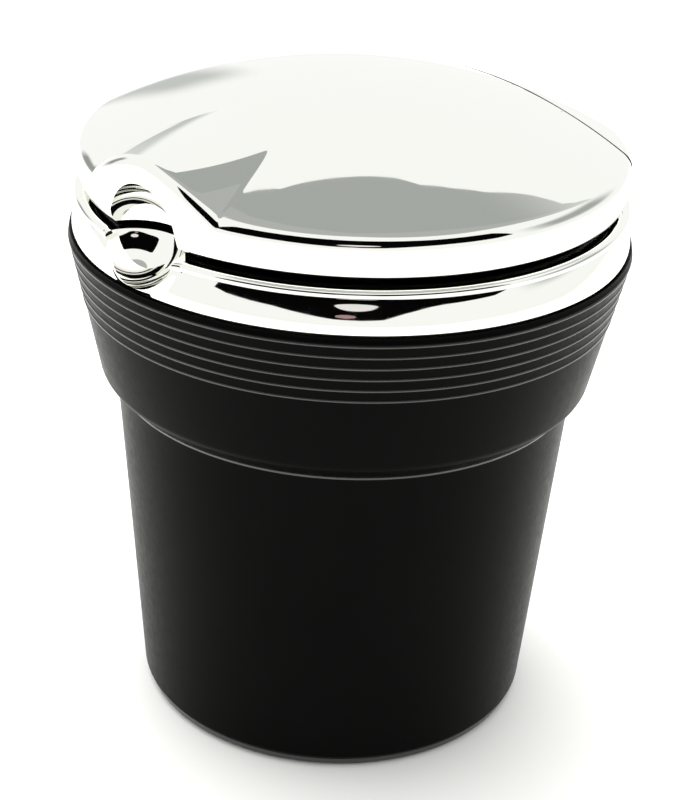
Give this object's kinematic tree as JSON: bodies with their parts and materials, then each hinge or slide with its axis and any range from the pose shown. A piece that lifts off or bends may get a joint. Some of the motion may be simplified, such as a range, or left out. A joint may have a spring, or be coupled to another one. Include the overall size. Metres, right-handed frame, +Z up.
{
  "type": "car ashtray bin",
  "caption": "Tapered black cup with a ribbed collar, a chrome ring and a domed flip lid with a thumb dish; an ash funnel and a lift-out metal liner inside.",
  "frame": {"origin": "centre of the underside, on the surface the ashtray stands on", "axes": "+Z up along the cup's axis; the thumb dish is at -Y and the lid's hinge at +Y; X runs along the hinge pin"},
  "size_m": [0.0812, 0.0812, 0.0965],
  "materials": {
    "chrome_plate": "mirror chrome plating on moulded plastic",
    "black_plastic": "satin black moulded polypropylene",
    "heat_plastic": "matt black heat-proof phenolic",
    "steel": "plain stainless steel",
    "rubber": "matt black silicone rubber"
  },
  "bodies": {
    "cup": {"outer_cup": "black_plastic", "base_pad": "rubber"},
    "liner": {"ash_liner": "steel"},
    "top": {"chrome_ring": "chrome_plate", "skirt_seal": "rubber", "ash_funnel": "heat_plastic", "snuff_sleeve": "steel", "hinge_bracket": "steel", "hinge_pin": "steel", "pin_clip": "steel", "torsion_spring": "steel", "hinge_cover": "chrome_plate", "catch_socket_left": "steel", "catch_socket_right": "steel", "lid_buffer_left": "rubber", "lid_buffer_right": "rubber", "bracket_screw_1": "steel", "bracket_screw_2": "steel", "cover_screw_1": "steel", "cover_screw_2": "steel"},
    "lid": {"lid_shell": "chrome_plate", "lid_plate": "black_plastic", "lid_seal": "rubber", "catch_peg_left": "steel", "catch_peg_right": "steel", "lid_screw_1": "steel", "lid_screw_2": "steel"}
  },
  "joints": [
    {"name": "lid_hinge", "type": "hinge", "parent": "top", "child": "lid", "pos_m": [0, 0.0229, 0.09126], "axis": [-1, 0, 0], "range_deg": [0, 75]},
    {"name": "top_lift", "type": "slide", "parent": "cup", "child": "top", "axis": [0, 0, 1], "range_m": [0, 0.03]},
    {"name": "liner_lift", "type": "slide", "parent": "cup", "child": "liner", "axis": [0, 0, 1], "range_m": [0, 0.014]}
  ]
}
